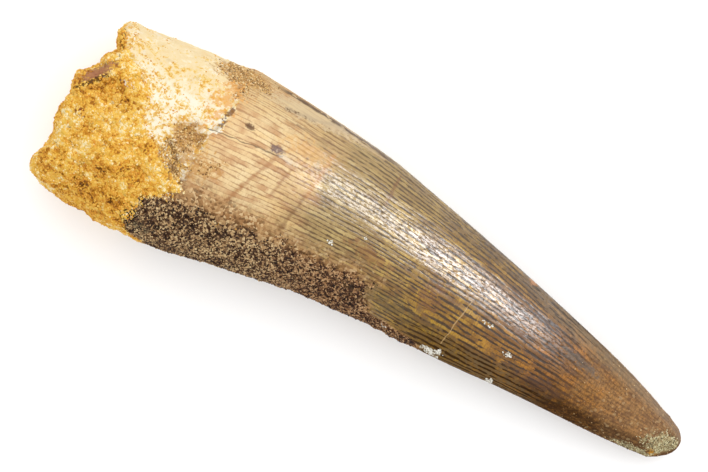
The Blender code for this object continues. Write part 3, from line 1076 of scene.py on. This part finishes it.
MARKS = [
    ((14.6, 0.3), (2.0, 1.7), 0.0, 0.9, (222, 166, 84), 0.7),
    ((14.3, 0.3), (1.2, 1.0), 0.0, 1.0, (170, 118, 62), 0.6),
    ((14.3, -2.7), (1.8, 1.1), -50.0, 1.1, (166, 130, 84), 0.7),
    ((14.3, -2.2), (1.2, 0.30), -50.0, 1.1, (84, 64, 46), 0.7),
    ((15.5, -1.6), (1.2, 0.8), 0.0, 1.1, (204, 160, 104), 0.8),
    ((17.8, -1.7), (1.7, 1.0), 30.0, 1.3, (196, 140, 68), 0.6),
    ((16.4, 9.0), (2.9, 1.1), 0.0, 1.1, (190, 142, 80), 0.7),
    ((16.2, 6.2), (2.0, 1.0), 80.0, 2.6, (230, 160, 72), 0.65),
    ((17.1, 4.9), (0.24, 0.9), -15.0, 1.5, (104, 70, 58), 0.75),
    ((17.0, 3.4), (0.20, 0.6), -10.0, 1.5, (108, 74, 60), 0.75),
    ((19.7, 4.6), (0.50, 0.28), 0.0, 0.5, (112, 78, 50), 0.85),
    ((23.5, 3.9), (0.75, 0.42), 0.0, 0.8, (116, 90, 94), 0.8),
    ((25.0, 3.5), (1.0, 0.24), -8.0, 1.6, (236, 222, 200), 0.4),
    ((2.5, 1.5), (2.0, 0.75), 52.0, 0.8, (178, 122, 92), 0.9),
    ((2.5, 0.3), (1.9, 0.30), 50.0, 0.7, (70, 40, 22), 0.85),
    ((3.2, -3.2), (0.55, 0.45), 0.0, 0.7, (128, 62, 40), 0.9),
    ((6.2, 2.0), (0.62, 0.32), 0.0, 0.5, (248, 238, 220), 0.95),
    ((7.5, 2.75), (0.32, 0.22), 0.0, 0.5, (248, 236, 212), 0.9),
    ((3.2, 5.8), (1.3, 0.26), -70.0, 0.6, (128, 84, 36), 0.85),
    ((13.4, -10.3), (1.0, 0.9), 20.0, 0.9, (34, 24, 20), 0.9),
    ((14.8, -10.8), (1.2, 0.45), 10.0, 0.8, (150, 134, 100), 0.8),
    ((25.0, 9.1), (5.6, 0.8), 4.0, 0.7, (214, 190, 150), 0.75),
    ((26.5, 5.4), (2.6, 0.9), 0.0, 1.4, (222, 168, 92), 0.5),
    ((30.6, 5.6), (1.3, 1.0), 0.0, 1.2, (176, 140, 74), 0.5),
    ((37.8, -0.9), (2.4, 0.7), -6.0, 1.4, (140, 92, 46), 0.55),
    ((45.8, -2.0), (1.1, 2.2), 0.0, 1.5, (122, 74, 38), 0.45),
    ((42.0, -4.6), (4.4, 1.0), 4.0, 1.6, (98, 84, 50), 0.4),
    ((57.6, 2.4), (1.8, 0.40), -14.0, 1.6, (76, 62, 58), 0.7),
    # The next grey streak is a painted reflection: what is left of the sheen towards the tip.
    ((63.4, 0.5), (2.2, 0.42), -10.0, 1.6, (96, 84, 72), 0.65),
    ((54.9, 5.5), (0.6, 0.32), 0.0, 0.8, (206, 138, 84), 0.6),
    ((60.5, -4.0), (2.6, 0.8), 5.0, 1.5, (84, 58, 46), 0.5),
    ((76.2, -2.9), (1.8, 1.1), 10.0, 1.1, (186, 172, 128), 0.7),
    ((75.6, -4.4), (0.6, 0.4), 0.0, 0.8, (206, 146, 46), 0.8),
    ((73.6, -4.9), (2.2, 0.30), 5.0, 0.9, (176, 168, 130), 0.6),
]


def lay_marks(place, colour):
    """Lay the cracks and then the marks over a colour, on the bare face alone."""
    bare = read(place.tree, "bare_face")
    for begin, finish, width, tint, strength in CRACKS:
        ends = {"Start": (*begin, 0.0), "End": (*finish, 0.0)}
        share = use(crack, Place=place, Width=width, Wander=0.4, **ends)["Share"]
        colour = layer(share * strength * bare, colour, linear(*tint))
    for centre, radii, slant, raggedness, tint, strength in MARKS:
        share = oval(place, centre, radii, slant, raggedness, 0.55)
        colour = layer(share * strength * bare, colour, linear(*tint))
    return colour


print(len(CRACKS), "cracks and", len(MARKS), "marks")

# %% [markdown]
# ## The skin's finish
# The colours are laid on in the order in which the real ones came about: root and enamel first, then the
# sand, and last the cracks and marks that cross it all. Over them all goes a painted shade in the hollows.
# The same shares then say where the enamel still shines and where sand has made it dull. One material with
# borders that wander was chosen over a material for each zone, because a zone of faces would end in a
# jagged step.

# %% The whole skin
PAINTED_HOLLOW_SHADE = linear(132, 88, 44, lit=1.0)
TIP_DUST = linear(206, 176, 128)
GRAIN_SIZE = 0.30
DULL = 0.92
POLISHED = 0.34
FAINT_GLOSS = 0.035


def skin_finish():
    """Colour, gloss and bumps of the skin."""
    material, sockets = new_material("fossil tooth")
    tree = material.node_tree
    place = read(tree, "place", "Vector")
    turn_place = read(tree, "turn", "Vector")
    band_depth = read(tree, "band_in")
    ahead, _, _ = parts(place)
    grains = use(sand, Place=place, Size=GRAIN_SIZE)
    pick = grains["Pick"]
    enamel_share = border(read(tree, "enamel_in"), place, 0.45, 0.8, 0.15)
    haze = border(band_depth + rise(ahead, 20.0, 34.0, 2.3, 0.8), place, 1.0, 1.6, 2.0)
    band_share = border(band_depth, place, 0.7, 1.2, 0.9)
    crust_share = border(read(tree, "crust_in"), place, 1.0, 1.3, 0.6)
    tip_sand = border(ahead - 66.0, place, 2.5, 2.5, 4.0)
    crown, dark, ridge, shine = enamel_colour(place, turn_place)
    colour = coat(root_colour(place), [
        (enamel_share, crown),
        (haze * 0.9, ramp(pick, HAZE_TINTS)),
        (band_share, band_colour(place, pick)),
        (crust_share, crust_colour(place, pick)),
        (calc("GREATER_THAN", pick, 0.95) * tip_sand * 0.3, TIP_DUST),
    ])
    colour = layer(carina_line(place, turn_place) * enamel_share, lay_marks(place, colour), CARINA_DARK)
    # Painted shade: the colour is darkened wherever the relief sinks below its blurred self, in the hollows.
    hollows = rise(read(tree, "cavity"), -0.02, -0.16, to_high=0.45)
    feed(sockets["Base Color"], layer(hollows, colour, PAINTED_HOLLOW_SHADE, way="MULTIPLY"))
    sandy = calc("MAXIMUM", crust_share, haze * 0.85)
    glossy = enamel_share * (1.0 - sandy)
    mirror = glossy * shine * skin_polish(place, ahead)
    wear = (cloud(place, 0.35, detail=3.0) - 0.5) * 0.18
    roughness = mirror * (POLISHED - DULL) + DULL + wear + tip_sand * 0.22
    feed(sockets["Roughness"], calc("MINIMUM", roughness, 1.0))
    feed(sockets["Specular IOR Level"], mirror * rise(ahead, 34.0, 46.0, 0.32, 0.56) + FAINT_GLOSS)
    fluted = glossy * (1.0 - tip_sand * 0.6)
    feed(sockets["Normal"], skin_bumps(place, grains["Dome"] * sandy, dark, ridge, fluted))
    return material


def skin_polish(place, ahead):
    """How well the enamel mirrors: best in the middle of the crown, and broken into dashes."""
    dashes = cloud(calc_vector("MULTIPLY", place, (0.40, 1.0, 1.0)), 0.20, detail=3.0, roughness=0.65)
    middle = rise(ahead, 21.0, 31.0, 0.38, 1.0) * rise(ahead, 56.0, 65.0, 1.0, 0.35)
    return middle * rise(dashes, 0.36, 0.56, 0.55, 1.0)


# %% Bumps too fine for the net
SAND_HEIGHT = 0.08
RIDGE_HEIGHT = 0.005
LINE_DEPTH = 0.0065
RIPPLE_HEIGHT = 0.009
PORE_DEPTH = 0.06
ENAMEL_PORES = 0.009


def skin_bumps(place, grain, dark, ridge, fluted):
    """Grains, flutes, lines and the fine ripple across the flutes, all in millimetres."""
    ripple = cloud(calc_vector("MULTIPLY", place, (1.0, 0.25, 0.25)), 0.16)
    flute_height = (ridge * RIDGE_HEIGHT - dark * LINE_DEPTH + ripple * RIPPLE_HEIGHT) * fluted
    depth = PORE_DEPTH - fluted * (PORE_DEPTH - ENAMEL_PORES)
    pores = cloud(place, 0.22, detail=3.0, roughness=0.6) * depth
    height = grain * SAND_HEIGHT + flute_height + pores
    return put(place.tree, "ShaderNodeBump", Height=height, Distance=MM)


skin.data.materials.append(skin_finish())
print("finish", len(skin.data.materials[0].node_tree.nodes), "nodes")

# %% Fit the skin to the part
def belongs(piece):
    """Every piece of the dressed tooth stands for the one solid and rides with it."""
    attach(piece, "root")
    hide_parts("tooth")


belongs(skin)
print(skin.name, "rides on the root")

# %% [markdown]
# ## Real grains
# Colour and bumps leave a smooth outline, and a sandy crust hasn't one. So the crust, the dark sand and
# the tip also carry real grains: uneven crystals of twenty faces, each turned its own way and partly sunk.
# They are strewn over the net by chance, more where a zone's share is high, always from the same seed.
# A piece holds thousands of them joined together.

# %% Strew grains over the net
GRAIN_SINK = 0.35
FLOOR_CLEARANCE = 0.3


def crystal():
    """Corners and faces of a crystal of radius 1."""
    bm = bmesh.new()
    bmesh.ops.create_icosphere(bm, subdivisions=1, radius=1.0)
    corners = np.array([corner.co[:] for corner in bm.verts])
    faces = np.array([[corner.index for corner in face.verts] for face in bm.faces])
    bm.free()
    return corners, faces


def random_turns(rng, count):
    """Rotations that point every way alike, as matrices."""
    w, x, y, z = rng.normal(size=(count, 4)).T
    length = np.sqrt(w * w + x * x + y * y + z * z)
    w, x, y, z = w / length, x / length, y / length, z / length
    rows = [1 - 2 * (y * y + z * z), 2 * (x * y - z * w), 2 * (x * z + y * w),
            2 * (x * y + z * w), 1 - 2 * (x * x + z * z), 2 * (y * z - x * w),
            2 * (x * z - y * w), 2 * (y * z + x * w), 1 - 2 * (x * x + y * y)]
    return np.stack(rows, axis=-1).reshape(count, 3, 3)


def strew(rng, share, count):
    """Choose places on the net; hands back a way to read any field of the net at them."""
    field = skin_points
    across_cell = (np.roll(field, -1, axis=1) - field)[:-1]
    area = np.linalg.norm(np.cross(across_cell, np.diff(field, axis=0)), axis=-1)
    chance = area * (share * (height > FLOOR_CLEARANCE))[:-1]
    cells = rng.choice(chance.size, size=count, p=(chance / chance.sum()).ravel())
    hoop, rib = np.divmod(cells, field.shape[1])
    after = (rib + 1) % field.shape[1]
    u, v = rng.random((2, count))

    def read_field(values):
        shape = (-1,) + (1,) * (values.ndim - 2)
        to_rib, to_hoop = u.reshape(shape), v.reshape(shape)
        low = values[hoop, rib] * (1 - to_rib) + values[hoop, after] * to_rib
        high = values[hoop + 1, rib] * (1 - to_rib) + values[hoop + 1, after] * to_rib
        return low * (1 - to_hoop) + high * to_hoop

    return read_field


# %% A piece of joined grains
def grain_map(mesh, count, faces):
    """A square of the map for each grain, because a grain has one colour."""
    side = math.ceil(math.sqrt(count))
    column, row = np.divmod(np.arange(count), side)
    corner = np.array([[0.2, 0.2], [0.8, 0.2], [0.5, 0.8]])
    cell = np.stack([column, row], axis=-1)[:, None, None, :]
    lay_map(mesh, (cell + np.broadcast_to(corner, (count, faces, 3, 2))) / side)


def grain_piece(name, share, count, radii, seed, material):
    """One piece of joined grains, coloured by their own numbers and by where they lie."""
    rng = np.random.default_rng(seed)
    read_field = strew(rng, share, count)
    corners, faces = crystal()
    radius = radii[0] + (radii[1] - radii[0]) * rng.random(count) ** 2
    centres = read_field(skin_points) - read_field(normals) * (radius * GRAIN_SINK)[:, None]
    broken = corners * (0.75 + 0.5 * rng.random((count, len(corners), 1)))
    turned = np.einsum("nij,nkj->nki", random_turns(rng, count), broken)
    places = centres[:, None, :] + turned * radius[:, None, None]
    places[:, :, 2] = np.maximum(places[:, :, 2], FLOOR_GAP)
    mesh = bpy.data.meshes.new(name)
    every_face = faces[None] + (np.arange(count) * len(corners))[:, None, None]
    mesh.from_pydata((places.reshape(-1, 3) * MM).tolist(), [], every_face.reshape(-1, 3).tolist())
    store(mesh, "place", np.repeat(read_field(where), len(corners), axis=0))
    store(mesh, "pick", np.repeat(rng.random(count), len(corners)))
    grain_map(mesh, count, len(faces))
    mesh.materials.append(material)
    belongs(add_object(name, mesh))
    print(name, count, "grains,", len(mesh.polygons), "faces")


# %% Finishes of the grains
EARTH_TINTS = [
    (0.0, 116, 86, 50), (0.3, 162, 120, 66), (0.55, 198, 152, 88), (0.8, 224, 184, 116),
    (1.0, 244, 222, 172),
]
DOT_TINTS = [(0.0, 214, 150, 56), (0.5, 236, 190, 94), (0.8, 248, 224, 160), (1.0, 254, 246, 226)]
TIP_TINTS = [(0.0, 76, 50, 30), (0.5, 136, 94, 54), (0.80, 170, 122, 70), (1.0, 246, 218, 164)]
END_TINTS = [(0.0, 58, 46, 32), (0.3, 128, 110, 72), (0.6, 196, 184, 138), (1.0, 232, 226, 188)]
SPECK_TINTS = [(0.0, 150, 138, 118), (0.2, 214, 208, 190), (0.5, 242, 240, 228), (1.0, 255, 252, 244)]
GRAIN_ROUGHNESS = 0.7
GRAIN_GLOSS = 0.14


def grain_finish(name, colouring):
    """A dull finish whose colour comes from a function of the grain's place and number."""
    material, sockets = new_material(name)
    tree = material.node_tree
    feed(sockets["Base Color"], colouring(read(tree, "place", "Vector"), read(tree, "pick")))
    sockets["Roughness"].default_value = GRAIN_ROUGHNESS
    sockets["Specular IOR Level"].default_value = GRAIN_GLOSS
    return material


def tinted(stops):
    """A colouring by the grain's own number alone."""
    return lambda place, pick: ramp(pick, stops)


# %% Where each kind lies
# Each kind lies in ovals: centre, radii, slant in degrees, and how densely it lies there.
EARTH = [
    ((14.5, 0.3), (1.4, 1.1), 0.0, 1.0), ((14.1, -2.6), (1.6, 0.8), -50.0, 1.0),
    ((17.8, -1.6), (1.5, 0.8), 30.0, 0.4), ((16.4, 9.1), (2.6, 0.9), 0.0, 1.0),
    ((18.6, 9.2), (0.9, 0.5), -10.0, 0.5), ((17.0, 7.4), (1.1, 0.7), 60.0, 0.35),
]
SPECKS = [
    ((48.5, -6.7), (0.95, 0.28), 0.0, 1.0), ((49.3, -6.3), (0.35, 0.35), 0.0, 1.0),
    ((55.8, -6.3), (0.32, 0.26), 0.0, 1.0), ((55.9, -2.7), (0.42, 0.30), 0.0, 1.0),
    ((52.5, -0.9), (0.75, 0.25), 0.0, 0.35), ((36.3, 0.4), (0.26, 0.14), 0.0, 0.8),
    ((33.1, -1.8), (0.28, 0.14), 0.0, 0.8), ((25.8, -3.8), (0.18, 0.16), 0.0, 0.8),
    ((66.1, -6.2), (0.40, 0.18), 0.0, 0.6), ((42.6, -6.8), (0.30, 0.14), 0.0, 0.5),
]
TIP_CRUST = [((76.0, -2.9), (2.0, 1.3), 10.0, 1.0), ((73.4, -4.9), (2.2, 0.35), 5.0, 0.6)]

earth_places, speck_places, end_places = [spots(marks) for marks in (EARTH, SPECKS, TIP_CRUST)]
crust_places = crust * (1.0 - spot((2.5, 1.5), (2.1, 0.8), turned=52.0))
facing_up = smooth_step(-0.3, 0.2, np.sin(turn_grid))
clumps = smooth_step(0.0, 0.4, soft_noise(0.9, 21.0))
root_places = chalk * (0.08 + smooth_step(-4.0, -0.3, crust_in)) * clumps
tip_places = smooth_step(62.0, 70.0, along) * (0.4 + 0.6 * smooth_step(2.0, -4.0, across))
print("earth", round(float(earth_places.sum())), "corners")

# %% The kinds of grain
ochre = grain_finish("ochre grains", crust_colour)
grain_piece("crust_grains_upper", crust_places * facing_up, 9400, (0.09, 0.20), 11, ochre)
grain_piece("crust_grains_lower", crust_places * (1.0 - facing_up), 6500, (0.10, 0.21), 12, ochre)
dark_sand = grain_finish("dark grains", band_colour)
grain_piece("flank_grains_upper", band * facing_up, 9400, (0.07, 0.17), 13, dark_sand)
grain_piece("flank_grains_lower", band * (1.0 - facing_up), 6000, (0.08, 0.17), 19, dark_sand)

SMALL_KINDS = [
    ("root grains", root_places, 1500, (0.07, 0.15), 16, DOT_TINTS),
    ("earth grains", earth_places, 2000, (0.07, 0.15), 17, EARTH_TINTS),
    ("tip grains", tip_places, 1000, (0.04, 0.09), 14, TIP_TINTS),
    ("end grains", end_places, 700, (0.06, 0.13), 18, END_TINTS),
    ("pale specks", speck_places, 360, (0.07, 0.15), 15, SPECK_TINTS),
]
for kind, share, count, radii, seed, tints in SMALL_KINDS:
    grain_piece(kind.replace(" ", "_"), share, count, radii, seed, grain_finish(kind, tinted(tints)))
